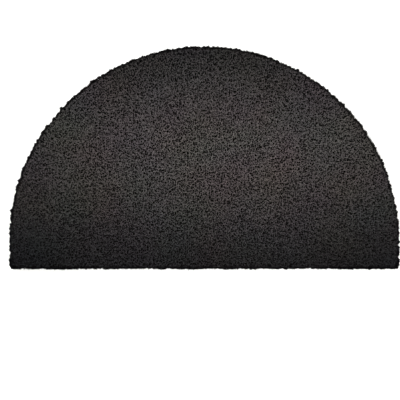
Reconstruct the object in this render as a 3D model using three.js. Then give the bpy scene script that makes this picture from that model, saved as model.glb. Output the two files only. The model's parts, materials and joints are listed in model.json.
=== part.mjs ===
// A half round coir doormat lying flat on the floor: one slab of short, dense coconut fibre
// pile standing in its base, sheared level on top and cut to a semicircle with a short
// straight strip along the threshold side. Nothing is sewn on or bound.
//
// Millimetres, +Z up. X runs along the straight edge, Y from the straight edge to the crown
// of the arc. The origin is the middle of the footprint, on the floor.
import * as THREE from "three";

// Driving dimensions
const WIDTH = 700; // along the straight edge
const DEPTH = 400; // from the straight edge to the crown
const THICKNESS = 17; // from the floor to the longest fibre tips
const BASE_THICKNESS = 3; // the cut base that the fibres stand in
const CORNER_RADIUS = 6; // the two corners wear round where the arc's sides meet the straight edge

// The rim: fibres at the cut edge gather in tufts that stand out past the cut unevenly
const TUFT_PITCH = 8; // along the rim, from one tuft to the next
const TUFT_REACH = 1.9; // the furthest that a tuft stands out past the cut line
const NOTCH_DEPTH = 1.3; // the deepest gap between two tufts

// The knife wanders a little: slow waves in the cut, counted over the whole rim
const CUT_WAVES = [
  { count: 7, reach: 0.45, turn: 0.6 },
  { count: 13, reach: 0.35, turn: 2.3 },
  { count: 29, reach: 0.3, turn: 4.1 },
];

// The rim's section, from the floor up. inset is measured in from the cut line, and ragged is
// the share of the tufts' unevenness that shows at that height.
const RIM_SECTION = [
  { height: 0, inset: 1.4, ragged: 0 },
  { height: BASE_THICKNESS, inset: 1.0, ragged: 0.15 },
  { height: 12.5, inset: 0, ragged: 1 },
  { height: 16, inset: 2.2, ragged: 0.7 },
];

// The sheared top: low lumps where the pile stands thicker or thinner
const TOP_RELIEF = 1.1; // from the longest tips down to the deepest hollow
const LUMP_PITCH = 14; // from one lump or hollow to the next
const FIRST_RING_INSET = 9; // the first ring of lumps, in from the cut line

const ARC_RADIUS = WIDTH / 2;
const ARC_CENTRE_Y = DEPTH / 2 - ARC_RADIUS;
const DEEPEST_INSET = DEPTH / 2; // where rings set in from the outline shrink to a line

// A number from 0 to 1 that is the same on each run, for the place and the use it is asked for.
function scatter(place, use) {
  const mixed = Math.sin(place * 12.9898 + use * 78.233) * 43758.5453;
  return mixed - Math.floor(mixed);
}

// The mat's outline set in by a distance, anticlockwise from the middle of the straight edge.
function outline(inset, cornerRadius = 0) {
  const radius = ARC_RADIUS - inset;
  const edgeY = -DEPTH / 2 + inset;
  const sideTop = Math.max(ARC_CENTRE_Y, edgeY); // past this height the side is the arc
  const startAngle = Math.asin((sideTop - ARC_CENTRE_Y) / radius);
  const sideX = radius * Math.cos(startAngle);
  const shape = new THREE.Path();
  shape.moveTo(0, edgeY);
  shape.lineTo(sideX - cornerRadius, edgeY);
  if (cornerRadius) shape.quadraticCurveTo(sideX, edgeY, sideX, edgeY + cornerRadius);
  if (sideTop > edgeY) shape.lineTo(sideX, sideTop);
  shape.absarc(0, ARC_CENTRE_Y, radius, startAngle, Math.PI - startAngle, false);
  if (sideTop > edgeY) shape.lineTo(-sideX, edgeY + cornerRadius);
  if (cornerRadius) shape.quadraticCurveTo(-sideX, edgeY, -sideX + cornerRadius, edgeY);
  shape.lineTo(0, edgeY);
  return shape;
}

// Points at even steps along an outline, without the last one, which repeats the first.
function evenPoints(shape, count) {
  return shape.getSpacedPoints(count).slice(0, count);
}

// How far the rim stands out past the cut line at one of its points: the waves of the cut,
// and a tuft's tip at every other point with a notch between.
function raggedness(index, count) {
  const turn = (2 * Math.PI * index) / count;
  let reach = 0;
  for (const wave of CUT_WAVES) reach += wave.reach * Math.sin(wave.count * turn + wave.turn);
  const share = scatter(index, 1);
  return index % 2 ? reach + TUFT_REACH * share ** 1.6 : reach - NOTCH_DEPTH * share;
}

// One ring of the rim, at a row of its section.
function rimRing(row, cutLine) {
  const count = cutLine.length;
  return cutLine.map((point, i) => {
    const before = cutLine[(i + count - 1) % count];
    const after = cutLine[(i + 1) % count];
    const outward = new THREE.Vector2(after.y - before.y, before.x - after.x).normalize();
    const placed = point.clone().addScaledVector(outward, row.ragged * raggedness(i, count) - row.inset);
    return new THREE.Vector3(placed.x, placed.y, row.height);
  });
}

// One ring of lumps and hollows on the sheared top.
function topRing(inset) {
  const shape = outline(inset);
  const count = Math.max(8, Math.round(shape.getLength() / LUMP_PITCH));
  return evenPoints(shape, count).map(
    (point, i) => new THREE.Vector3(point.x, point.y, THICKNESS - TOP_RELIEF * scatter(i + inset, 2)),
  );
}

// Triangles that join a ring to the next one up or in, taking the shorter diagonal each time.
function zip(outer, inner, outerStart, innerStart) {
  const faces = [];
  let i = 0;
  let j = 0;
  while (i < outer.length || j < inner.length) {
    const a = outer[i % outer.length];
    const b = inner[j % inner.length];
    const nextA = outer[(i + 1) % outer.length];
    const nextB = inner[(j + 1) % inner.length];
    const stepOuter =
      j === inner.length || (i < outer.length && nextA.distanceTo(b) < nextB.distanceTo(a));
    const here = outerStart + (i % outer.length);
    const there = innerStart + (j % inner.length);
    if (stepOuter) {
      i += 1;
      faces.push(here, outerStart + (i % outer.length), there);
    } else {
      j += 1;
      faces.push(here, innerStart + (j % inner.length), there);
    }
  }
  return faces;
}

// The faces that fill a ring, as seen from above.
function fill(ring, start) {
  const flat = ring.map((point) => new THREE.Vector2(point.x, point.y));
  return THREE.ShapeUtils.triangulateShape(flat, []).flat().map((corner) => start + corner);
}

// The whole mat: rings from the base up the rim and in over the top, joined and closed.
function matGeometry() {
  const cut = outline(0, CORNER_RADIUS);
  const tufts = Math.round(cut.getLength() / TUFT_PITCH);
  const cutLine = evenPoints(cut, 2 * tufts);
  const rings = RIM_SECTION.map((row) => rimRing(row, cutLine));
  for (let inset = FIRST_RING_INSET; inset < DEEPEST_INSET - LUMP_PITCH / 2; inset += LUMP_PITCH) {
    rings.push(topRing(inset));
  }
  const positions = [];
  const faces = [];
  let start = 0;
  rings.forEach((ring, level) => {
    for (const point of ring) positions.push(point.x, point.y, point.z);
    const next = rings[level + 1];
    if (next) faces.push(...zip(ring, next, start, start + ring.length));
    else faces.push(...fill(ring, start));
    start += ring.length;
  });
  faces.push(...fill(rings[0], 0).reverse());
  const geometry = new THREE.BufferGeometry();
  geometry.setAttribute("position", new THREE.Float32BufferAttribute(positions, 3));
  geometry.setIndex(faces);
  geometry.computeVertexNormals();
  return geometry;
}

// Coir dyed charcoal: dull, with no shine of its own.
const coir = new THREE.MeshStandardMaterial({ color: 0x37332f, roughness: 0.95, metalness: 0 });

const mat = new THREE.Mesh(matGeometry(), coir);
mat.name = "mat";

const doormat = new THREE.Group();
doormat.add(mat);

export default doormat;
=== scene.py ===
"""Dresses the half round coir doormat: the base and the bed of packed fibre on it, the pile of
dyed coconut fibre that stands in them, the ragged rim where the mat is cut, and a plain studio."""
import json
import math

import bmesh
import bpy
from bpy.props import FloatProperty, FloatVectorProperty, IntProperty, PointerProperty
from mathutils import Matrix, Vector, noise
from mathutils.geometry import delaunay_2d_cdt

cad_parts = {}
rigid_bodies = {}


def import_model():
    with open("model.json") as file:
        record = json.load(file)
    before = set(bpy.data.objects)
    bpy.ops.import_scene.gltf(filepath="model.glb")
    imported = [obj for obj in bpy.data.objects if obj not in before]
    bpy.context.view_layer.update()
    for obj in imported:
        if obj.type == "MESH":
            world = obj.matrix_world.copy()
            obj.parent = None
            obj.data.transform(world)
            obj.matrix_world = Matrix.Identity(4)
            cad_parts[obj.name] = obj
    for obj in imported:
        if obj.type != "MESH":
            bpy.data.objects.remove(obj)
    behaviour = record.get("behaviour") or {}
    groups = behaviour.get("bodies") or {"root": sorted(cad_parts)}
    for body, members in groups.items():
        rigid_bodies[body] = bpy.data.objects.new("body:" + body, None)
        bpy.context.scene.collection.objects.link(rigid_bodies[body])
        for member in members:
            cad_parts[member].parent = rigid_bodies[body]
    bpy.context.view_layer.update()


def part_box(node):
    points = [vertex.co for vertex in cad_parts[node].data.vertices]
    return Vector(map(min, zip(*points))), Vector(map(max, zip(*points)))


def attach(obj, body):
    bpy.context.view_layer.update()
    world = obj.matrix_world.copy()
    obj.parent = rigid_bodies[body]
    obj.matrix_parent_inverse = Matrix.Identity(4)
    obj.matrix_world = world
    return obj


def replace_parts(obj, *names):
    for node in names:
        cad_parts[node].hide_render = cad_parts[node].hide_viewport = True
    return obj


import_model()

bl_info = {
    "name": "Half Round Coir Doormat",
    "version": (1, 0, 0),
    "blender": (4, 5, 0),
    "location": "3D View > Sidebar > Doormat",
    "description": "Builds the doormat's base, pile and rim around its solid, and a plain studio",
    "category": "Add Mesh",
}

MM = 0.001
BODY = "root"
NODE = "mat"
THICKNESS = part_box(NODE)[1].z

# The slow waves of the cut, counted over the whole rim
CUT_WAVES = [
    {"count": 7, "reach": 0.45 * MM, "turn": 0.6},
    {"count": 13, "reach": 0.35 * MM, "turn": 2.3},
    {"count": 29, "reach": 0.30 * MM, "turn": 4.1},
]

# The pile
PILE_LOTS = 5  # its fibres are shared out in five lots, each a fifth of them all
PILE_DENSITY = 3e6  # roots tried on each square metre, before the ones too close are dropped
PILE_INSET = 3.0 * MM  # how far in from the cut the outermost roots stand
PILE_CELLS = 160  # columns of the bake map that one lot's fibres are unrolled on

# Near the cut a fibre leans less its own way, splays outwards and ends lower. All but the share
# and the splay are distances in from the cut.
EDGE = 1 * MM  # up to where lean and splay are as at the cut
FREE_FROM = 7 * MM  # from where on a fibre leans as it likes
FREE_LEAST = 0.25  # the share of that lean at the cut
SPLAY_TO = 10 * MM
SPLAY = 1.0 * MM  # how far a tip at the cut would splay
SHOULDER_FROM = 2 * MM  # up to where the tips are lowest

# The rim
RIM_STEPS = 3  # points of the rim's line for each point of the solid's
RIM_GATHERING = {"Lean": 0.6 * MM, "Stray": 0.5 * MM, "Hollow": 1.0 * MM, "Pit Reach": 0.4 * MM}

# How any fibre stands
GIRTH_LEAST = 0.75  # radius of the thinnest fibre, against the usual one
GIRTH_MOST = 1.3
BEND = 1.4  # the power of the height by which a fibre leans over
SHORTEST = 1 * MM
UNEVEN_TIPS = 0.9 * MM  # how much lower than the next fibre one may end
STRETCH = (1, 0.85, 1)  # makes pits and tufts a little longer up Y than along X
CELL_FILL = (0.7, 0.7, 0)  # the share of its cell on the bake map that a fibre's skin fills
CELL_MARGIN = (0.15, 0.15, 0)

# The base and the bed of packed fibre on it
BED_STEP = 7 * MM  # from one point of the bed's sheet to the next
BED_INSET = 2.2 * MM
BED_LUMP = 1.2 * MM  # how much the bed rises and falls
BED_LUMP_SIZE = 9 * MM
BED_LEVEL_RIM = 4 * MM  # how far in from the cut the bed is still level
SAME_HEIGHT = 0.1 * MM  # heights closer than this are the same
BASE_SECTION = [  # from the bed down, as a share of the base's height and an inset
    {"share": 1, "inset": 1.6 * MM},
    {"share": 1, "inset": 1.0 * MM},
    {"share": 0, "inset": 1.4 * MM},
]

# The shapes of fibre. Each ring of points has its height along the fibre, how far it is off the
# straight line and its size, in fibre radii. Pile fibres start at a point, hidden in the bed.
FIBRE_SIDES = 3
PILE_SHAPES = {
    "pile_straight": [(0, 0, 0), (1, 0, 1)],
    "pile_slanted": [(0, 0, 0), (1, 1.5, 0.8)],
    "pile_bowed": [(0, 0, 0), (0.6, 1.3, 1), (1, 0.2, 0.8)],
    "pile_hooked": [(0, 0, 0), (0.7, -0.4, 1), (1, 1.8, 0.7)],
}
RIM_SHAPES = {
    "rim_straight": [(0, 0, 1), (0.5, 0.2, 1), (1, 0, 0.8)],
    "rim_bowed": [(0, 0, 1), (0.5, 0.8, 1), (1, -0.3, 0.8)],
    "rim_hooked": [(0, 0, 1), (0.6, -0.4, 1), (1, 1.1, 0.7)],
}

# A painted pool of light: where the fibre is painted palest, and how far from there that has faded
# to about a third
LIGHT_POOL_MIDDLE = (27 * MM, 12 * MM, 0)
LIGHT_POOL_REACH = (415 * MM, 174 * MM, 1)
LIGHT_POOL_FALL = 2.1  # how suddenly it fades

# What the materials show
DYE_PATCH = 90 * MM  # a patch of fibre that the dye bath tinted alike
HAIR = 1.2 * MM  # the ends of hairs in the bed, drawn coarser than real ones of 0.3 mm
PEBBLE = 1.5 * MM  # a pebble of the vinyl's skin

# The photograph's frame, for the camera
PICTURE_WIDTH = 718.8 * MM  # of the mat that the picture takes in
PICTURE_LEVEL = 12.5 * MM  # the height on the mat where it does
PICTURE_MIDDLE = Vector((-7.5 * MM, -76.0 * MM, 0))  # what lies in the middle of the picture

# The studio
FLOOR_HALF = 12.0  # half the floor's width, in metres
FLOOR_DOWN = 0.1 * MM  # the floor lies this far under the mat, so that they don't touch
SKY_STRENGTH = 1.1
LAMPS = [
    {"name": "key", "at": (-0.8, 1.4, 1.0), "size": 0.7, "power": 60.0},
    {"name": "counter", "at": (0.7, -1.4, 1.0), "size": 0.7, "power": 40.0},
]


def linear(code):
    """An sRGB hex colour as linear red, green and blue."""
    shares = [int(code[i:i + 2], 16) / 255 for i in (1, 3, 5)]
    return [s / 12.92 if s <= 0.04045 else ((s + 0.055) / 1.055) ** 2.4 for s in shares]


class MatSizes(bpy.types.PropertyGroup):
    """The cut mat, as its solid has it."""

    width: FloatProperty(
        name="Width", description="Along the straight side", default=700 * MM, unit="LENGTH")
    depth: FloatProperty(
        name="Depth", description="From the straight side to the crown", default=400 * MM,
        unit="LENGTH")
    thickness: FloatProperty(
        name="Thickness", description="From the floor to the longest tips", default=THICKNESS,
        unit="LENGTH")
    base: FloatProperty(
        name="Base", description="Thickness of the base that the fibres stand in",
        default=3 * MM, unit="LENGTH")
    corner: FloatProperty(
        name="Corner", description="Radius of the two worn corners", default=6 * MM,
        unit="LENGTH")
    tuft_pitch: FloatProperty(
        name="Tuft pitch", description="From one tuft of the rim to the next", default=8 * MM,
        unit="LENGTH")
    tuft_reach: FloatProperty(
        name="Tuft reach", description="The furthest that a tuft stands out past the cut",
        default=1.9 * MM, unit="LENGTH")
    notch: FloatProperty(
        name="Notch", description="The deepest gap between two tufts", default=1.3 * MM,
        unit="LENGTH")


class PileSizes(bpy.types.PropertyGroup):
    """The fibres and how they stand."""

    spacing: FloatProperty(
        name="Spacing", description="The least distance between two fibres of the pile",
        default=1.0 * MM, unit="LENGTH")
    fibre: FloatProperty(
        name="Fibre", description="Radius of a fibre, drawn coarser than a real one",
        default=0.62 * MM, unit="LENGTH")
    bed: FloatProperty(
        name="Bed", description="Height of the packed fibre between the drawn ones",
        default=6 * MM, unit="LENGTH")
    pit_pitch: FloatProperty(
        name="Pit pitch", description="From one pit in the pile to the next", default=3.6 * MM,
        unit="LENGTH")
    pit_size: FloatProperty(
        name="Pit size", description="Radius of a pit, as a share of the pitch", default=0.5,
        min=0, max=1, subtype="FACTOR")
    pit_reach: FloatProperty(
        name="Pit reach", description="How far the fibres in a pit lean away from its middle",
        default=4.5 * MM, unit="LENGTH")
    tuft_pitch: FloatProperty(
        name="Tuft pitch", description="From one small tuft of the pile to the next",
        default=2.2 * MM, unit="LENGTH")
    lean: FloatProperty(
        name="Lean", description="How far the fibres of a tuft lean over", default=0.5 * MM,
        unit="LENGTH")
    stray: FloatProperty(
        name="Stray", description="How far a fibre leans its own way", default=0.4 * MM,
        unit="LENGTH")
    hollow: FloatProperty(
        name="Hollow", description="How much lower the tips are in the middle of a pit",
        default=12.5 * MM, unit="LENGTH")
    dyed: FloatProperty(
        name="Dyed", description="Share of the fibres that took more dye than the palest",
        default=0.6, min=0, max=1, subtype="FACTOR")
    darkest: FloatProperty(
        name="Darkest", description="How pale the darkest fibre is, against the palest",
        default=0.8, min=0, max=1, subtype="FACTOR")
    seed: IntProperty(name="Seed", description="Picks another chance arrangement", default=4)


class RimSizes(bpy.types.PropertyGroup):
    """The fibres of the cut rim and how they lean out."""

    count: IntProperty(name="Count", description="Number of fibres round the rim", default=12000)
    fibre: FloatProperty(
        name="Fibre", description="Radius of a fibre, drawn coarser than a real one",
        default=0.5 * MM, unit="LENGTH")
    foot: FloatProperty(
        name="Foot", description="From the cut to the first fibres' roots", default=1.0 * MM,
        unit="LENGTH")
    rows: FloatProperty(
        name="Rows", description="Depth of the band that the roots stand in",
        default=2.6 * MM, unit="LENGTH")
    out: FloatProperty(
        name="Out", description="How far the longest fibres reach past the solid's rim",
        default=0.8 * MM, unit="LENGTH")
    ragged: FloatProperty(
        name="Ragged", description="Unevenness of the rim, against the solid's", default=0.8)
    round: FloatProperty(
        name="Round", description="How far short of the rim's line the innermost tips stop",
        default=1.8 * MM, unit="LENGTH")
    # Painted shade at the rim: the tips nearest the rim's line are painted darkest
    tip_painted_shade: FloatProperty(
        name="Tip tone", description="How pale the rim's innermost tips are, against the pile's",
        default=0.35, min=0, max=1, subtype="FACTOR")
    # Painted light: the rim's fibres are painted paler towards the root, against the painted shade
    # down their stems
    stem_tone: FloatProperty(
        name="Stem tone", description="How pale the rim's fibres are at the root",
        default=0.45, min=0, max=1, subtype="FACTOR")
    straight: FloatProperty(
        name="Straight side", description="How ragged the straight side is, against the arc",
        default=0.55, min=0, max=1, subtype="FACTOR")
    uneven: FloatProperty(
        name="Uneven", description="How far the rim wanders between its tufts",
        default=2.8 * MM, unit="LENGTH")
    wander: FloatProperty(
        name="Wander", description="The length along the rim of one such wandering",
        default=7 * MM, unit="LENGTH")
    shoulder: FloatProperty(
        name="Shoulder", description="How far in from the cut the pile's tips are lower",
        default=7 * MM, unit="LENGTH")
    fall: FloatProperty(
        name="Fall", description="How much lower the pile's tips are at the cut",
        default=4 * MM, unit="LENGTH")
    drop: FloatProperty(
        name="Drop", description="How much lower the outermost tips are", default=6.0 * MM,
        unit="LENGTH")


class CoirColours(bpy.types.PropertyGroup):
    """The colours of the dyed fibre and what is round it."""

    # Painted light and shade: a pool of light is painted into the fibre's colour, palest in the
    # middle and darkest towards the edges; these two colours are its ends
    worn: FloatVectorProperty(
        name="Worn fibre", description="Palest fibre in the trodden middle", subtype="COLOR",
        default=linear("#7a7473"))
    shaded_edges: FloatVectorProperty(
        name="Fresh fibre", description="Palest fibre where nobody treads", subtype="COLOR",
        default=linear("#161a20"))
    patches: FloatProperty(
        name="Patches", description="How much the dye's tint differs from place to place",
        default=0.25, min=0, max=1, subtype="FACTOR")
    # Painted shade: the fibre's colour is painted darker below the tips, down to black at this
    # height, as the shade inside the pile
    deep: FloatProperty(
        name="Deep", description="Height up to which the pile's fibres are in full shade",
        default=10 * MM, unit="LENGTH")
    ramp: FloatProperty(
        name="Ramp", description="How fast fibre darkens below the tips", default=1.4)
    shine: FloatProperty(
        name="Shine", description="How much of its shine the hairy fibre keeps", default=0.02,
        min=0, max=1, subtype="FACTOR")
    # Painted shade: the packed fibre is painted near black, as the shade deep in the pile
    bed: FloatVectorProperty(
        name="Bed", description="Packed fibre deep in the pile", subtype="COLOR",
        default=linear("#080807"))
    base: FloatVectorProperty(
        name="Base", description="The base's rough underside", subtype="COLOR",
        default=linear("#121212"))
    floor: FloatVectorProperty(
        name="Floor", description="The studio's floor and walls", subtype="COLOR",
        default=linear("#ececea"))


class DoormatSettings(bpy.types.PropertyGroup):
    """All the sizes and colours of the doormat."""

    mat: PointerProperty(type=MatSizes)
    pile: PointerProperty(type=PileSizes)
    rim: PointerProperty(type=RimSizes)
    colours: PointerProperty(type=CoirColours)


# The cut outline

def arc_centre(mat):
    """How far up Y the arc's centre is."""
    return mat.depth / 2 - mat.width / 2


def cut_line(mat, inset, corner):
    """Close points on the outline set in by a distance, anticlockwise from the middle of the
    straight side, with the two corners rounded."""
    radius = mat.width / 2 - inset
    centre = arc_centre(mat)
    edge = inset - mat.depth / 2
    steps = 12
    turns = 720
    line = [Vector((0, edge))]
    for i in range(steps + 1):
        t = i / steps
        line.append(Vector((radius - corner * (1 - t) ** 2, edge + corner * t * t)))
    for i in range(turns + 1):
        angle = math.pi * i / turns
        line.append(Vector((radius * math.cos(angle), centre + radius * math.sin(angle))))
    for i in range(steps + 1):
        t = 1 - i / steps
        line.append(Vector((corner * (1 - t) ** 2 - radius, edge + corner * t * t)))
    return line


def even_points(line, count):
    """Points at even steps along a closed line."""
    reach = [0.0]
    for here, there in zip(line, line[1:] + line[:1]):
        reach.append(reach[-1] + (there - here).length)
    points = []
    at = 0
    for i in range(count):
        goal = reach[-1] * i / count
        while reach[at + 1] < goal:
            at += 1
        share = (goal - reach[at]) / (reach[at + 1] - reach[at])
        points.append(line[at].lerp(line[(at + 1) % len(line)], share))
    return points


def line_length(line):
    """The length of a closed line."""
    return sum((there - here).length for here, there in zip(line, line[1:] + line[:1]))


def scatter(place, use):
    """A number from 0 to 1 that is the same on each run, for the place and use it is asked for."""
    mixed = math.sin(place * 12.9898 + use * 78.233) * 43758.5453
    return mixed - math.floor(mixed)


def raggedness(mat, index, count):
    """How far the rim stands out past the cut line at one of its points."""
    turn = 2 * math.pi * index / count
    reach = sum(w["reach"] * math.sin(w["count"] * turn + w["turn"]) for w in CUT_WAVES)
    share = scatter(index, 1)
    return reach + mat.tuft_reach * share ** 1.6 if index % 2 else reach - mat.notch * share


def rim_line(mat):
    """For each point of the cut line: the point, the way out from it and how ragged it is."""
    line = cut_line(mat, 0, mat.corner)
    count = 2 * round(line_length(line) / mat.tuft_pitch)
    points = even_points(line, count)
    rim = []
    for i, point in enumerate(points):
        along = points[(i + 1) % count] - points[i - 1]
        outward = Vector((along.y, -along.x)).normalized()
        rim.append((point, outward, raggedness(mat, i, count)))
    return rim


def inset_at(mat, x, y):
    """How far in from the cut line a place is, and the way out from there."""
    from_arc = Vector((x, max(y - arc_centre(mat), 0)))
    to_arc = mat.width / 2 - from_arc.length
    to_edge = y + mat.depth / 2
    if to_edge < to_arc:
        return to_edge, Vector((0, -1, 0))
    return to_arc, from_arc.normalized().to_3d()


# Meshes and node trees

def add_node(tree, kind, inputs=None, **settings):
    """A node of a kind, with its settings, and its inputs set to values or linked to sockets."""
    node = tree.nodes.new(kind)
    for name, value in settings.items():
        setattr(node, name, value)
    for name, value in (inputs or {}).items():
        if isinstance(value, bpy.types.NodeSocket):
            tree.links.new(value, node.inputs[name])
        else:
            node.inputs[name].default_value = value
    return node


def store(mesh, name, kind, values, domain="POINT"):
    """Gives a mesh a named attribute, one value or vector for each point or corner."""
    numbers = [n for v in values for n in v] if kind != "FLOAT" else list(values)
    field = "value" if kind == "FLOAT" else "vector"
    mesh.attributes.new(name, kind, domain).data.foreach_set(field, numbers)


def new_piece(name, mesh, materials):
    """An object for a finished mesh, with its materials, in the scene."""
    for material in materials:
        mesh.materials.append(material)
    piece = bpy.data.objects.new(name, mesh)
    bpy.context.scene.collection.objects.link(piece)
    return piece


def bed_mesh(mat, inset, step, height):
    """A level sheet of triangles inside the cut line, whose points hold their inset and the
    way out from them. Its rim is three times as fine as the rest."""
    count = round(3 * line_length(cut_line(mat, inset, mat.corner)) / step)
    rim = even_points(cut_line(mat, inset, mat.corner), count)
    inner = []
    for row in range(math.ceil(mat.depth / step)):
        y = -mat.depth / 2 + (row + 0.5) * step
        for column in range(math.ceil(mat.width / step)):
            x = -mat.width / 2 + (column + 0.5 + 0.5 * (row % 2)) * step
            if inset_at(mat, x, y)[0] > inset + 0.7 * step:  # clear of the rim's points
                inner.append(Vector((x, y)))
    edges = [(i, (i + 1) % count) for i in range(count)]
    points, _, faces, *_ = delaunay_2d_cdt(rim + inner, edges, [], 1, 1e-7)
    mesh = bpy.data.meshes.new("bed")
    mesh.from_pydata([(p.x, p.y, height) for p in points], [], faces)
    known = [inset_at(mat, p.x, p.y) for p in points]
    store(mesh, "inset", "FLOAT", [inset for inset, _ in known])
    store(mesh, "outward", "FLOAT_VECTOR", [outward for _, outward in known])
    return mesh


def fibre_mesh(name, rings):
    """A tube of unit height and unit radius through rings of points. Every point holds how far
    along the fibre it is, and every corner where on the fibre's skin it is."""
    points, starts = [], []
    for height, off, radius in rings:
        starts.append(len(points))
        for side in range(FIBRE_SIDES if radius else 1):
            angle = 2 * math.pi * side / FIBRE_SIDES
            points.append((off + radius * math.cos(angle), radius * math.sin(angle), height))
    faces, skin = [], []
    for level in range(len(rings) - 1):
        low, high = starts[level:level + 2]
        lower, upper = rings[level][0], rings[level + 1][0]
        for side in range(FIBRE_SIDES):
            there = (side + 1) % FIBRE_SIDES
            if rings[level][2]:
                faces.append((low + side, low + there, high + there, high + side))
                skin += [(side, lower), (side + 1, lower)]
            else:
                faces.append((low, high + there, high + side))
                skin.append((side + 0.5, lower))
            skin += [(side + 1, upper), (side, upper)]
    tip = starts[-1]
    faces.append(tuple(range(tip, tip + FIBRE_SIDES)))
    skin += [(side, 1) for side in range(FIBRE_SIDES)]
    if rings[0][2]:
        faces.append(tuple(reversed(range(FIBRE_SIDES))))
        skin += [(side, 0) for side in range(FIBRE_SIDES)]
    mesh = bpy.data.meshes.new(name)
    mesh.from_pydata(points, [], faces)
    mesh.polygons.foreach_set("use_smooth", [True] * len(faces))
    store(mesh, "along", "FLOAT", [p[2] for p in points])
    store(mesh, "skin", "FLOAT2", [(around / FIBRE_SIDES, up) for around, up in skin], "CORNER")
    return mesh


def fibre_kinds(label, shapes):
    """A collection of fibres, one of each shape."""
    kinds = bpy.data.collections.new(label)
    for name, rings in shapes.items():
        kinds.objects.link(bpy.data.objects.new(name, fibre_mesh(name, rings)))
    return kinds


def new_tree(name, sizes):
    """A geometry node tree with a Geometry input and output, and a named input for each size.
    Returns the tree and its inputs' sockets by name."""
    tree = bpy.data.node_groups.new(name, "GeometryNodeTree")
    tree.interface.new_socket("Geometry", in_out="INPUT", socket_type="NodeSocketGeometry")
    for label, kind in sizes.items():
        tree.interface.new_socket(label, in_out="INPUT", socket_type="NodeSocket" + kind)
    tree.interface.new_socket("Geometry", in_out="OUTPUT", socket_type="NodeSocketGeometry")
    return tree, tree.nodes.new("NodeGroupInput").outputs


# The inputs that both the pile's tree and the rim's have
FIBRE_INPUTS = {
    "Radius": "Float", "Lean": "Float", "Stray": "Float", "Pit Pitch": "Float",
    "Pit Size": "Float", "Pit Reach": "Float", "Tuft Pitch": "Float", "Seed": "Int",
    "Root": "Float", "Tip": "Float", "Hollow": "Float", "Dyed": "Float", "Darkest": "Float",
    "Cells": "Int", "Kinds": "Int", "Shapes": "Collection", "Material": "Material",
}


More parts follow.
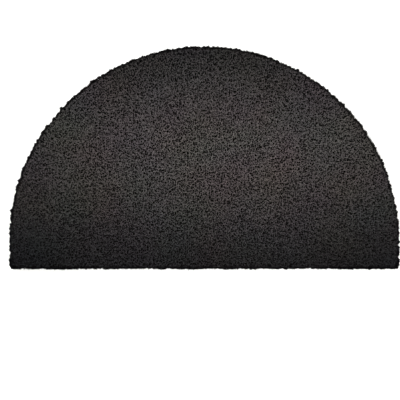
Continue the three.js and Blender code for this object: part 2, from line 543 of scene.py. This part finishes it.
def plant_fibres(tree, given, points, lean, lower, shade):
    """The end of a fibre tree: a fibre with its shade on each point, whose tip leans over by
    lean and ends by lower under the longest, made real and unrolled to its own cell of the
    bake map."""
    full = add_node(tree, "ShaderNodeMath", {0: given["Tip"], 1: given["Root"]},
                    operation="SUBTRACT")
    left = add_node(tree, "ShaderNodeMath", {0: full.outputs[0], 1: lower},
                    operation="SUBTRACT")
    height = add_node(tree, "ShaderNodeMath", {0: left.outputs[0], 1: SHORTEST},
                      operation="MAXIMUM")
    last = add_node(tree, "ShaderNodeMath", {0: given["Kinds"], 1: 1.0}, operation="SUBTRACT")
    pick = add_node(tree, "FunctionNodeRandomValue", {4: 0, 5: last.outputs[0], "Seed": 11},
                    data_type="INT")
    turn = add_node(tree, "FunctionNodeRandomValue", {2: 0.0, 3: 2 * math.pi, "Seed": 12})
    girth = add_node(tree, "FunctionNodeRandomValue", {
        2: GIRTH_LEAST, 3: GIRTH_MOST, "Seed": 13})
    radius = add_node(tree, "ShaderNodeMath", {0: girth.outputs[1], 1: given["Radius"]},
                      operation="MULTIPLY")
    size = add_node(tree, "ShaderNodeCombineXYZ", {
        "X": radius.outputs[0], "Y": radius.outputs[0], "Z": height.outputs[0]})
    turned = add_node(tree, "ShaderNodeCombineXYZ", {"Z": turn.outputs[1]})
    shapes = add_node(tree, "GeometryNodeCollectionInfo", {
        "Collection": given["Shapes"], "Separate Children": True, "Reset Children": True})
    number = add_node(tree, "GeometryNodeInputIndex")
    kept = points
    for name, kind, value in (("lean", "FLOAT_VECTOR", lean), ("shade", "FLOAT", shade),
                              ("number", "INT", number.outputs[0])):
        kept = add_node(tree, "GeometryNodeStoreNamedAttribute", {
            "Geometry": kept, "Name": name, "Value": value},
            data_type=kind, domain="POINT").outputs[0]
    planted = add_node(tree, "GeometryNodeInstanceOnPoints", {
        "Points": kept, "Instance": shapes.outputs[0], "Pick Instance": True,
        "Instance Index": pick.outputs[2], "Rotation": turned.outputs[0],
        "Scale": size.outputs[0]})
    real = add_node(tree, "GeometryNodeRealizeInstances", {"Geometry": planted.outputs[0]})

    along = add_node(tree, "GeometryNodeInputNamedAttribute", {"Name": "along"})
    leaning = add_node(tree, "GeometryNodeInputNamedAttribute", {"Name": "lean"},
                       data_type="FLOAT_VECTOR")
    bend = add_node(tree, "ShaderNodeMath", {0: along.outputs[0], 1: BEND}, operation="POWER")
    offset = add_node(tree, "ShaderNodeVectorMath", {
        0: leaning.outputs[0], "Scale": bend.outputs[0]}, operation="SCALE")
    bent = add_node(tree, "GeometryNodeSetPosition", {
        "Geometry": real.outputs[0], "Offset": offset.outputs[0]})

    numbered = add_node(tree, "GeometryNodeInputNamedAttribute", {"Name": "number"},
                        data_type="INT")
    skin = add_node(tree, "GeometryNodeInputNamedAttribute", {"Name": "skin"},
                    data_type="FLOAT_VECTOR")
    column = add_node(tree, "ShaderNodeMath", {0: numbered.outputs[0], 1: given["Cells"]},
                      operation="FLOORED_MODULO")
    share = add_node(tree, "ShaderNodeMath", {0: numbered.outputs[0], 1: given["Cells"]},
                     operation="DIVIDE")
    row = add_node(tree, "ShaderNodeMath", {0: share.outputs[0]}, operation="FLOOR")
    cell = add_node(tree, "ShaderNodeCombineXYZ", {"X": column.outputs[0], "Y": row.outputs[0]})
    inside = add_node(tree, "ShaderNodeVectorMath", {
        0: skin.outputs[0], 1: CELL_FILL, 2: CELL_MARGIN}, operation="MULTIPLY_ADD")
    place = add_node(tree, "ShaderNodeVectorMath", {
        0: cell.outputs[0], 1: inside.outputs[0]}, operation="ADD")
    cells = add_node(tree, "ShaderNodeCombineXYZ", {
        "X": given["Cells"], "Y": given["Cells"], "Z": 1.0})
    unrolled = add_node(tree, "ShaderNodeVectorMath", {
        0: place.outputs[0], 1: cells.outputs[0]}, operation="DIVIDE")
    mapped = add_node(tree, "GeometryNodeStoreNamedAttribute", {
        "Geometry": bent.outputs[0], "Name": "OFBake", "Value": unrolled.outputs[0]},
        data_type="FLOAT2", domain="CORNER").outputs[0]
    for name in ("lean", "number", "skin", "inset", "outward", "ragged", "id"):
        mapped = add_node(tree, "GeometryNodeRemoveAttribute", {
            "Geometry": mapped, "Name": name}).outputs[0]
    dressed = add_node(tree, "GeometryNodeSetMaterial", {
        "Geometry": mapped, "Material": given["Material"]})
    add_node(tree, "NodeGroupOutput", {"Geometry": dressed.outputs[0]})


def gathering(tree, given, seed):
    """How the fibres stand. Pits open where they lean away from a place, and between the pits
    they gather in small tufts that lean alike. Returns the sockets of how far a fibre leans
    over, how much lower it is and how pale, from 0 to 1."""
    place = add_node(tree, "GeometryNodeInputPosition")
    stretched = add_node(tree, "ShaderNodeVectorMath", {0: place.outputs[0], 1: STRETCH},
                         operation="MULTIPLY")
    pits_per_metre = add_node(tree, "ShaderNodeMath", {0: 1.0, 1: given["Pit Pitch"]},
                              operation="DIVIDE")
    pit = add_node(tree, "ShaderNodeTexVoronoi", {
        "Vector": stretched.outputs[0], "Scale": pits_per_metre.outputs[0]},
        voronoi_dimensions="2D")
    from_pit = add_node(tree, "ShaderNodeVectorMath", {
        0: stretched.outputs[0], 1: pit.outputs["Position"]}, operation="SUBTRACT")
    level = add_node(tree, "ShaderNodeVectorMath", {0: from_pit.outputs[0], 1: (1, 1, 0)},
                     operation="MULTIPLY")
    away = add_node(tree, "ShaderNodeVectorMath", {0: level.outputs[0]}, operation="NORMALIZE")
    strengths = add_node(tree, "ShaderNodeSeparateXYZ", {"Vector": pit.outputs["Color"]})
    nearness = add_node(tree, "ShaderNodeMapRange", {
        "Value": pit.outputs["Distance"], "From Min": 0.0, "From Max": given["Pit Size"],
        "To Min": 1.0, "To Max": 0.0})
    opening = add_node(tree, "ShaderNodeMath", {
        0: strengths.outputs["X"], 1: nearness.outputs[0]}, operation="MULTIPLY")
    push = add_node(tree, "ShaderNodeMath", {0: opening.outputs[0], 1: given["Pit Reach"]},
                    operation="MULTIPLY")
    pushed = add_node(tree, "ShaderNodeVectorMath", {
        0: away.outputs[0], "Scale": push.outputs[0]}, operation="SCALE")

    tufts_per_metre = add_node(tree, "ShaderNodeMath", {0: 1.0, 1: given["Tuft Pitch"]},
                               operation="DIVIDE")
    tuft = add_node(tree, "ShaderNodeTexVoronoi", {
        "Vector": stretched.outputs[0], "Scale": tufts_per_metre.outputs[0]},
        voronoi_dimensions="2D")
    way = add_node(tree, "ShaderNodeVectorMath", {
        0: tuft.outputs["Color"], 1: (2, 2, 0), 2: (-1, -1, 0)}, operation="MULTIPLY_ADD")
    together = add_node(tree, "ShaderNodeVectorMath", {
        0: way.outputs[0], "Scale": given["Lean"]}, operation="SCALE")
    own = add_node(tree, "FunctionNodeRandomValue", {
        0: (-1, -1, 0), 1: (1, 1, 0), "Seed": seed}, data_type="FLOAT_VECTOR")
    apart = add_node(tree, "ShaderNodeVectorMath", {
        0: own.outputs[0], "Scale": given["Stray"]}, operation="SCALE")
    lean = add_node(tree, "ShaderNodeVectorMath", {
        0: together.outputs[0], 1: pushed.outputs[0]}, operation="ADD")
    leaning = add_node(tree, "ShaderNodeVectorMath", {0: lean.outputs[0], 1: apart.outputs[0]},
                       operation="ADD")

    uneven = add_node(tree, "FunctionNodeRandomValue", {
        2: 0.0, 3: UNEVEN_TIPS, "Seed": seed + 1})
    sunk = add_node(tree, "ShaderNodeMath", {
        0: opening.outputs[0], 1: given["Hollow"], 2: uneven.outputs[1]},
        operation="MULTIPLY_ADD")
    dye = add_node(tree, "FunctionNodeRandomValue", {2: 0.0, 3: 1.0, "Seed": seed + 2})
    pale = add_node(tree, "ShaderNodeMapRange", {
        "Value": dye.outputs[1], "From Max": given["Dyed"], "To Min": given["Darkest"]},
        interpolation_type="SMOOTHSTEP")
    return leaning.outputs[0], sunk.outputs[0], pale.outputs[0]


def pile_tree():
    """The pile: one lot of the fibres that are spread evenly over the bed. They lean together
    in tufts and away from pits, and near the cut they splay outwards and end lower."""
    tree, given = new_tree("Coir pile", {
        "Spacing": "Float", "Lot From": "Float", "Lot To": "Float", "Shoulder": "Float",
        "Fall": "Float", **FIBRE_INPUTS})
    spread = add_node(tree, "GeometryNodeDistributePointsOnFaces", {
        "Mesh": given["Geometry"], "Distance Min": given["Spacing"],
        "Density Max": PILE_DENSITY, "Seed": given["Seed"]}, distribute_method="POISSON")
    lot = add_node(tree, "FunctionNodeRandomValue", {2: 0.0, 3: 1.0, "Seed": 21})
    before = add_node(tree, "FunctionNodeCompare", {0: lot.outputs[1], 1: given["Lot From"]},
                      operation="LESS_THAN")
    after = add_node(tree, "FunctionNodeCompare", {0: lot.outputs[1], 1: given["Lot To"]},
                     operation="GREATER_EQUAL")
    other = add_node(tree, "FunctionNodeBooleanMath", {
        0: before.outputs[0], 1: after.outputs[0]}, operation="OR")
    points = add_node(tree, "GeometryNodeDeleteGeometry", {
        "Geometry": spread.outputs[0], "Selection": other.outputs[0]}, domain="POINT")

    leaning, sunk, pale = gathering(tree, given, 22)
    inset = add_node(tree, "GeometryNodeInputNamedAttribute", {"Name": "inset"})
    outward = add_node(tree, "GeometryNodeInputNamedAttribute", {"Name": "outward"},
                       data_type="FLOAT_VECTOR")
    freedom = add_node(tree, "ShaderNodeMapRange", {
        "Value": inset.outputs[0], "From Min": EDGE, "From Max": FREE_FROM,
        "To Min": FREE_LEAST})
    splay = add_node(tree, "ShaderNodeMapRange", {
        "Value": inset.outputs[0], "From Min": EDGE, "From Max": SPLAY_TO,
        "To Min": SPLAY, "To Max": 0.0})
    held = add_node(tree, "ShaderNodeVectorMath", {0: leaning, "Scale": freedom.outputs[0]},
                    operation="SCALE")
    out = add_node(tree, "ShaderNodeVectorMath", {
        0: outward.outputs[0], "Scale": splay.outputs[0]}, operation="SCALE")
    lean = add_node(tree, "ShaderNodeVectorMath", {0: held.outputs[0], 1: out.outputs[0]},
                    operation="ADD")
    shoulder = add_node(tree, "ShaderNodeMapRange", {
        "Value": inset.outputs[0], "From Min": SHOULDER_FROM, "From Max": given["Shoulder"],
        "To Min": given["Fall"], "To Max": 0.0}, interpolation_type="SMOOTHSTEP")
    lower = add_node(tree, "ShaderNodeMath", {0: sunk, 1: shoulder.outputs[0]}, operation="ADD")
    plant_fibres(tree, given, points.outputs[0], lean.outputs[0], lower.outputs[0], pale)
    return tree


def rim_tree():
    """The rim: fibres in a band round the cut. Each leans out until its tip is some way short of
    the ragged line of the rim, and the nearer its tip is to that line, the lower it is and the
    darker it is painted, a painted shade of the cut's rounded shoulder."""
    tree, given = new_tree("Coir rim", {
        "Count": "Int", "Foot": "Float", "Rows": "Float", "Round": "Float", "Drop": "Float",
        "Tip Tone": "Float", "Stem Tone": "Float", **FIBRE_INPUTS})
    line = add_node(tree, "GeometryNodeMeshToCurve", {"Mesh": given["Geometry"]})
    stations = add_node(tree, "GeometryNodeCurveToPoints", {
        "Curve": line.outputs[0], "Count": given["Count"]}, mode="COUNT")
    outward = add_node(tree, "GeometryNodeInputNamedAttribute", {"Name": "outward"},
                       data_type="FLOAT_VECTOR")
    ragged = add_node(tree, "GeometryNodeInputNamedAttribute", {"Name": "ragged"})
    depth = add_node(tree, "FunctionNodeRandomValue", {2: 0.0, 3: 1.0, "Seed": 31})
    inward = add_node(tree, "ShaderNodeMath", {
        0: depth.outputs[1], 1: given["Rows"], 2: given["Foot"]}, operation="MULTIPLY_ADD")
    backward = add_node(tree, "ShaderNodeMath", {0: inward.outputs[0], 1: -1.0},
                        operation="MULTIPLY")
    moved = add_node(tree, "ShaderNodeVectorMath", {
        0: outward.outputs[0], "Scale": backward.outputs[0]}, operation="SCALE")
    rows = add_node(tree, "GeometryNodeSetPosition", {
        "Geometry": stations.outputs[0], "Offset": moved.outputs[0]})

    short = add_node(tree, "FunctionNodeRandomValue", {2: 0.0, 3: 1.0, "Seed": 32})
    short_by = add_node(tree, "ShaderNodeMath", {0: short.outputs[1], 1: given["Round"]},
                        operation="MULTIPLY")
    to_line = add_node(tree, "ShaderNodeMath", {0: inward.outputs[0], 1: ragged.outputs[0]},
                       operation="ADD")
    reach = add_node(tree, "ShaderNodeMath", {0: to_line.outputs[0], 1: short_by.outputs[0]},
                     operation="SUBTRACT")
    out = add_node(tree, "ShaderNodeVectorMath", {
        0: outward.outputs[0], "Scale": reach.outputs[0]}, operation="SCALE")
    leaning, sunk, pale = gathering(tree, given, 33)
    lean = add_node(tree, "ShaderNodeVectorMath", {0: leaning, 1: out.outputs[0]},
                    operation="ADD")
    near = add_node(tree, "ShaderNodeMath", {0: 1.0, 1: short.outputs[1]}, operation="SUBTRACT")
    lower = add_node(tree, "ShaderNodeMath", {
        0: near.outputs[0], 1: given["Drop"], 2: sunk}, operation="MULTIPLY_ADD")
    # Painted shade: the nearer a tip is to the rim's line, the darker the fibre is painted, as the
    # shade on the cut's shoulder
    painted_rim_shade = add_node(tree, "ShaderNodeMath", {0: short.outputs[1], 1: given["Tip Tone"]},
                   operation="MULTIPLY")
    shade = add_node(tree, "ShaderNodeMath", {0: pale, 1: painted_rim_shade.outputs[0]},
                     operation="MULTIPLY")
    toned = add_node(tree, "GeometryNodeStoreNamedAttribute", {
        "Geometry": rows.outputs[0], "Name": "stem_tone", "Value": given["Stem Tone"]},
        data_type="FLOAT", domain="POINT")
    plant_fibres(tree, given, toned.outputs[0], lean.outputs[0], lower.outputs[0],
                 shade.outputs[0])
    return tree


def fibre_values(settings, kinds):
    """What both trees are given, with the kinds of fibre that one of them plants."""
    mat, pile = settings.mat, settings.pile
    material = bpy.data.materials.get("Dyed coir") or fibre_material(settings.colours)
    return {
        "Radius": pile.fibre, "Lean": pile.lean, "Stray": pile.stray,
        "Pit Pitch": pile.pit_pitch, "Pit Size": pile.pit_size, "Pit Reach": pile.pit_reach,
        "Tuft Pitch": pile.tuft_pitch, "Hollow": pile.hollow, "Seed": pile.seed,
        "Dyed": pile.dyed, "Darkest": pile.darkest, "Root": mat.base, "Tip": mat.thickness,
        "Kinds": len(kinds.objects), "Shapes": kinds, "Material": material,
    }


def grown(name, bed, tree, values):
    """The plain mesh piece that a tree grows on a bed."""
    piece = new_piece(name, bed, [])
    modifier = piece.modifiers.new("Grow", "NODES")
    modifier.node_group = tree
    for item in tree.interface.items_tree:
        if item.in_out == "INPUT" and item.name in values:
            modifier[item.identifier] = values[item.name]
    depsgraph = bpy.context.evaluated_depsgraph_get()
    mesh = bpy.data.meshes.new_from_object(
        piece.evaluated_get(depsgraph), preserve_all_data_layers=True, depsgraph=depsgraph)
    piece.modifiers.clear()
    piece.data = mesh
    if not mesh.polygons:
        raise RuntimeError(f"{name} grew no fibres")
    return piece


def on_mat(piece):
    """Makes a finished piece part of the mat."""
    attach(piece, BODY)
    return piece


# Materials

def new_material(name):
    """An empty node material and its tree."""
    material = bpy.data.materials.new(name)
    material.use_nodes = True
    material.node_tree.nodes.clear()
    return material, material.node_tree


def finish_material(tree, inputs):
    """The material's surface: one shader with these inputs."""
    shader = add_node(tree, "ShaderNodeBsdfPrincipled", inputs)
    add_node(tree, "ShaderNodeOutputMaterial", {"Surface": shader.outputs[0]})


def fibre_material(colours):
    """Coconut fibre, vat dyed charcoal: dull and hairy. Each fibre took the dye a little
    differently. Its colour is painted darker down its stem, a painted shade of the fibres round
    it, and the rim's stems are painted paler at the root, painted light. A painted pool of light
    makes the middle paler and the edges darker."""
    material, tree = new_material("Dyed coir")
    shade = add_node(tree, "ShaderNodeAttribute", attribute_name="shade")
    place = add_node(tree, "ShaderNodeTexCoord")
    from_middle = add_node(tree, "ShaderNodeVectorMath", {
        0: place.outputs["Object"], 1: LIGHT_POOL_MIDDLE}, operation="SUBTRACT")
    shares = add_node(tree, "ShaderNodeVectorMath", {
        0: from_middle.outputs[0], 1: LIGHT_POOL_REACH}, operation="DIVIDE")
    away = add_node(tree, "ShaderNodeVectorMath", {0: shares.outputs[0]}, operation="LENGTH")
    steep = add_node(tree, "ShaderNodeMath", {0: away.outputs["Value"], 1: LIGHT_POOL_FALL},
                     operation="POWER")
    less = add_node(tree, "ShaderNodeMath", {0: steep.outputs[0], 1: -1.0},
                    operation="MULTIPLY")
    painted_light_pool = add_node(tree, "ShaderNodeMath", {0: less.outputs[0]}, operation="EXPONENT")
    # Painted pool of light: the colour goes from the pale middle colour to the dark edge colour,
    # as a pool of light fades
    coloured = add_node(tree, "ShaderNodeMix", {
        "Factor": painted_light_pool.outputs[0], 6: (*colours.shaded_edges, 1), 7: (*colours.worn, 1)},
        data_type="RGBA")
    # Painted shade: fibre is painted darker the lower it stands, down to black at the height deep
    at = add_node(tree, "ShaderNodeSeparateXYZ", {"Vector": place.outputs["Object"]})
    up = add_node(tree, "ShaderNodeMapRange", {
        "Value": at.outputs["Z"], "From Min": colours.deep, "From Max": THICKNESS})
    bent = add_node(tree, "ShaderNodeMath", {0: up.outputs[0], 1: colours.ramp},
                    operation="POWER")
    # Painted light: the rim's stems are painted paler towards the root
    stem_tone = add_node(tree, "ShaderNodeAttribute", attribute_name="stem_tone")
    along = add_node(tree, "ShaderNodeAttribute", attribute_name="along")
    down = add_node(tree, "ShaderNodeMath", {0: 1.0, 1: along.outputs["Fac"]},
                    operation="SUBTRACT")
    lowest = add_node(tree, "ShaderNodeMath", {0: down.outputs[0], 1: 2.0},
                      operation="POWER")
    stem = add_node(tree, "ShaderNodeMath", {
        0: lowest.outputs[0], 1: stem_tone.outputs["Fac"]}, operation="MULTIPLY")
    patches = add_node(tree, "ShaderNodeTexNoise", {
        "Vector": place.outputs["Object"], "Scale": 1 / DYE_PATCH, "Detail": 1.0})
    tint = add_node(tree, "ShaderNodeVectorMath", {
        0: patches.outputs["Color"], 1: [colours.patches] * 3, 2: [1 - colours.patches / 2] * 3},
        operation="MULTIPLY_ADD")
    tinted = add_node(tree, "ShaderNodeVectorMath", {
        0: coloured.outputs[2], 1: tint.outputs[0]}, operation="MULTIPLY")
    both = add_node(tree, "ShaderNodeMath", {
        0: shade.outputs["Fac"], 1: bent.outputs[0], 2: stem.outputs[0]},
        operation="MULTIPLY_ADD")
    deep = add_node(tree, "ShaderNodeVectorMath", {
        0: tinted.outputs[0], "Scale": both.outputs[0]}, operation="SCALE")
    finish_material(tree, {
        "Base Color": deep.outputs[0], "Roughness": 0.8, "IOR": 1.53,
        "Specular IOR Level": colours.shine})
    return material


def bed_material(colours):
    """Packed fibre deep in the pile: painted near black, a painted shade of the pile's depth, with
    the ends of hairs.
    """
    material, tree = new_material("Packed coir")
    place = add_node(tree, "ShaderNodeTexCoord")
    hairs = add_node(tree, "ShaderNodeTexNoise", {
        "Vector": place.outputs["Object"], "Scale": 1 / HAIR, "Detail": 3.0})
    bump = add_node(tree, "ShaderNodeBump", {
        "Height": hairs.outputs[0], "Distance": 0.6 * MM, "Strength": 0.8})
    lifted = [min(1, 1.9 * c) for c in colours.bed]  # the ends of the hairs
    mixed = add_node(tree, "ShaderNodeMix", {
        "Factor": hairs.outputs[0], 6: (*colours.bed, 1), 7: (*lifted, 1)}, data_type="RGBA")
    finish_material(tree, {
        "Base Color": mixed.outputs[2], "Roughness": 0.95, "IOR": 1.53,
        "Specular IOR Level": colours.shine, "Normal": bump.outputs[0]})
    return material


def base_material(colours):
    """Soft vinyl, spread and cured on a belt: dull black, with a fine pebbled skin."""
    material, tree = new_material("Cured vinyl")
    place = add_node(tree, "ShaderNodeTexCoord")
    pebbles = add_node(tree, "ShaderNodeTexVoronoi", {
        "Vector": place.outputs["Object"], "Scale": 1 / PEBBLE})
    bump = add_node(tree, "ShaderNodeBump", {
        "Height": pebbles.outputs[0], "Distance": 0.15 * MM, "Strength": 0.6})
    rough = add_node(tree, "ShaderNodeMapRange", {
        "Value": pebbles.outputs[0], "To Min": 0.55, "To Max": 0.75})
    finish_material(tree, {
        "Base Color": (*colours.base, 1), "Roughness": rough.outputs[0], "IOR": 1.53,
        "Specular IOR Level": 0.2, "Normal": bump.outputs[0]})
    return material


def floor_material(colours):
    """Matt painted board: pale and even."""
    material, tree = new_material("Matt paint")
    finish_material(tree, {"Base Color": (*colours.floor, 1), "Roughness": 0.9})
    return material


# Operators

class DOORMAT_OT_base(bpy.types.Operator):
    """Build the base and the bed of packed fibre on it, as one closed slab"""

    bl_idname = "doormat.base"
    bl_label = "Build base"

    def execute(self, context):
        settings = context.scene.doormat
        mat, pile = settings.mat, settings.pile
        top = bed_mesh(mat, BED_INSET, BED_STEP, pile.bed)
        shape = bmesh.new()
        shape.from_mesh(top)
        for point in shape.verts:
            inset = inset_at(mat, *point.co.xy)[0]
            if inset > BED_LEVEL_RIM:
                point.co.z += BED_LUMP * noise.noise(point.co / BED_LUMP_SIZE)
        upper = [point for point in shape.verts if point.is_boundary]
        for row in BASE_SECTION:
            lower = []
            for point in upper:
                inset, outward = inset_at(mat, *point.co.xy)
                place = point.co + outward * (inset - row["inset"])
                lower.append(shape.verts.new((*place.xy, row["share"] * mat.base)))
            for i in range(len(upper)):
                shape.faces.new((upper[i], lower[i], lower[i - 1], upper[i - 1]))
            upper = lower
        shape.faces.new(upper)
        bmesh.ops.recalc_face_normals(shape, faces=shape.faces)
        for face in shape.faces:
            middle = face.calc_center_median().z
            face.smooth = middle > SAME_HEIGHT  # all but the flat underside
            face.material_index = int(middle < mat.base + SAME_HEIGHT)
        mesh = bpy.data.meshes.new("mat_base")
        shape.to_mesh(mesh)
        shape.free()
        piece = new_piece("mat_base", mesh, [
            bed_material(settings.colours), base_material(settings.colours)])
        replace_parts(on_mat(piece), NODE)
        return {"FINISHED"}


class DOORMAT_OT_pile(bpy.types.Operator):
    """Plant the pile's fibres over the bed, in lots"""

    bl_idname = "doormat.pile"
    bl_label = "Plant pile"

    def execute(self, context):
        settings = context.scene.doormat
        mat, pile = settings.mat, settings.pile
        tree = pile_tree()
        kinds = fibre_kinds("pile fibres", PILE_SHAPES)
        for lot in range(PILE_LOTS):
            bed = bed_mesh(mat, PILE_INSET, BED_STEP, mat.base)
            on_mat(grown(f"pile_{lot + 1}", bed, tree, {
                **fibre_values(settings, kinds), "Spacing": pile.spacing, "Cells": PILE_CELLS,
                "Shoulder": settings.rim.shoulder, "Fall": settings.rim.fall,
                "Lot From": lot / PILE_LOTS, "Lot To": (lot + 1) / PILE_LOTS}))
        return {"FINISHED"}


class DOORMAT_OT_rim(bpy.types.Operator):
    """Plant the fibres of the cut rim, which lean out in tufts"""

    bl_idname = "doormat.rim"
    bl_label = "Plant rim"

    def execute(self, context):
        settings = context.scene.doormat
        mat, sizes = settings.mat, settings.rim
        rim = rim_line(mat)
        points, outs, raggeds = [], [], []
        for i, (point, outward, ragged) in enumerate(rim):
            next_point, next_outward, next_ragged = rim[(i + 1) % len(rim)]
            for step in range(RIM_STEPS):
                share = step / RIM_STEPS
                at = point.lerp(next_point, share)
                points.append((*at, mat.base))
                outs.append(outward.lerp(next_outward, share).normalized().to_3d())
                on_arc = at.y >= -mat.depth / 2 + mat.corner
                wandering = sizes.uneven * noise.noise(at.to_3d() / sizes.wander)
                tufted = sizes.ragged * (ragged + share * (next_ragged - ragged))
                raggeds.append(
                    (1.0 if on_arc else sizes.straight) * (sizes.out + wandering + tufted))
        line = bpy.data.meshes.new("rim line")
        line.from_pydata(points, [(i, (i + 1) % len(points)) for i in range(len(points))], [])
        store(line, "outward", "FLOAT_VECTOR", outs)
        store(line, "ragged", "FLOAT", raggeds)
        kinds = fibre_kinds("rim fibres", RIM_SHAPES)
        on_mat(grown("rim", line, rim_tree(), {
            **fibre_values(settings, kinds), "Radius": sizes.fibre, "Count": sizes.count,
            "Rows": sizes.rows, "Foot": sizes.foot, "Round": sizes.round, "Drop": sizes.drop,
            "Tip Tone": sizes.tip_painted_shade, "Stem Tone": sizes.stem_tone,
            "Cells": math.ceil(math.sqrt(sizes.count)), **RIM_GATHERING}))
        return {"FINISHED"}


class DOORMAT_OT_stage(bpy.types.Operator):
    """Set the floor, the lights and the camera"""

    bl_idname = "doormat.stage"
    bl_label = "Set stage"

    def execute(self, context):
        scene = context.scene
        settings = scene.doormat
        scene.view_settings.view_transform = "Standard"
        corners = [(-1, -1), (1, -1), (1, 1), (-1, 1)]
        mesh = bpy.data.meshes.new("floor")
        mesh.from_pydata([(x * FLOOR_HALF, y * FLOOR_HALF, -FLOOR_DOWN) for x, y in corners],
                         [], [(0, 1, 2, 3)])
        new_piece("floor", mesh, [floor_material(settings.colours)])

        world = bpy.data.worlds.new("studio")
        world.use_nodes = True
        sky = world.node_tree.nodes["Background"]
        sky.inputs["Color"].default_value = (*settings.colours.floor, 1)
        sky.inputs["Strength"].default_value = SKY_STRENGTH
        scene.world = world

        for lamp in LAMPS:
            light = bpy.data.lights.new(lamp["name"], "AREA")
            light.size = lamp["size"]
            light.energy = lamp["power"]
            holder = bpy.data.objects.new(lamp["name"], light)
            holder.location = lamp["at"]
            holder.rotation_euler = (-Vector(lamp["at"])).to_track_quat("-Z", "Y").to_euler()
            holder.visible_camera = False
            scene.collection.objects.link(holder)

        lens = bpy.data.cameras.new("camera")
        lens.lens = 85
        lens.clip_end = 100
        camera = bpy.data.objects.new("camera", lens)
        height = PICTURE_WIDTH * lens.lens / lens.sensor_width + PICTURE_LEVEL
        camera.location = PICTURE_MIDDLE + Vector((0, 0, height))
        scene.collection.objects.link(camera)
        scene.camera = camera
        return {"FINISHED"}


class DOORMAT_PT_panel(bpy.types.Panel):
    """Lists the steps that build the doormat"""

    bl_idname = "DOORMAT_PT_panel"
    bl_label = "Half Round Doormat"
    bl_space_type = "VIEW_3D"
    bl_region_type = "UI"
    bl_category = "Doormat"

    def draw(self, context):
        settings = context.scene.doormat
        for group in (settings.mat, settings.pile, settings.rim, settings.colours):
            box = self.layout.box()
            for name in group.bl_rna.properties.keys():
                if name not in ("rna_type", "name"):
                    box.prop(group, name)
        for step in STEPS:
            self.layout.operator(step.bl_idname)


STEPS = (DOORMAT_OT_stage, DOORMAT_OT_base, DOORMAT_OT_pile, DOORMAT_OT_rim)
CLASSES = (MatSizes, PileSizes, RimSizes, CoirColours, DoormatSettings, *STEPS, DOORMAT_PT_panel)


def register():
    """Adds the settings, the steps and the panel."""
    for cls in CLASSES:
        bpy.utils.register_class(cls)
    bpy.types.Scene.doormat = PointerProperty(type=DoormatSettings)


def unregister():
    """Takes them away again."""
    del bpy.types.Scene.doormat
    for cls in reversed(CLASSES):
        bpy.utils.unregister_class(cls)


def main():
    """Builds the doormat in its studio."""
    register()
    bpy.ops.doormat.stage()
    bpy.ops.doormat.base()
    bpy.ops.doormat.pile()
    bpy.ops.doormat.rim()


if __name__ == "__main__":
    main()
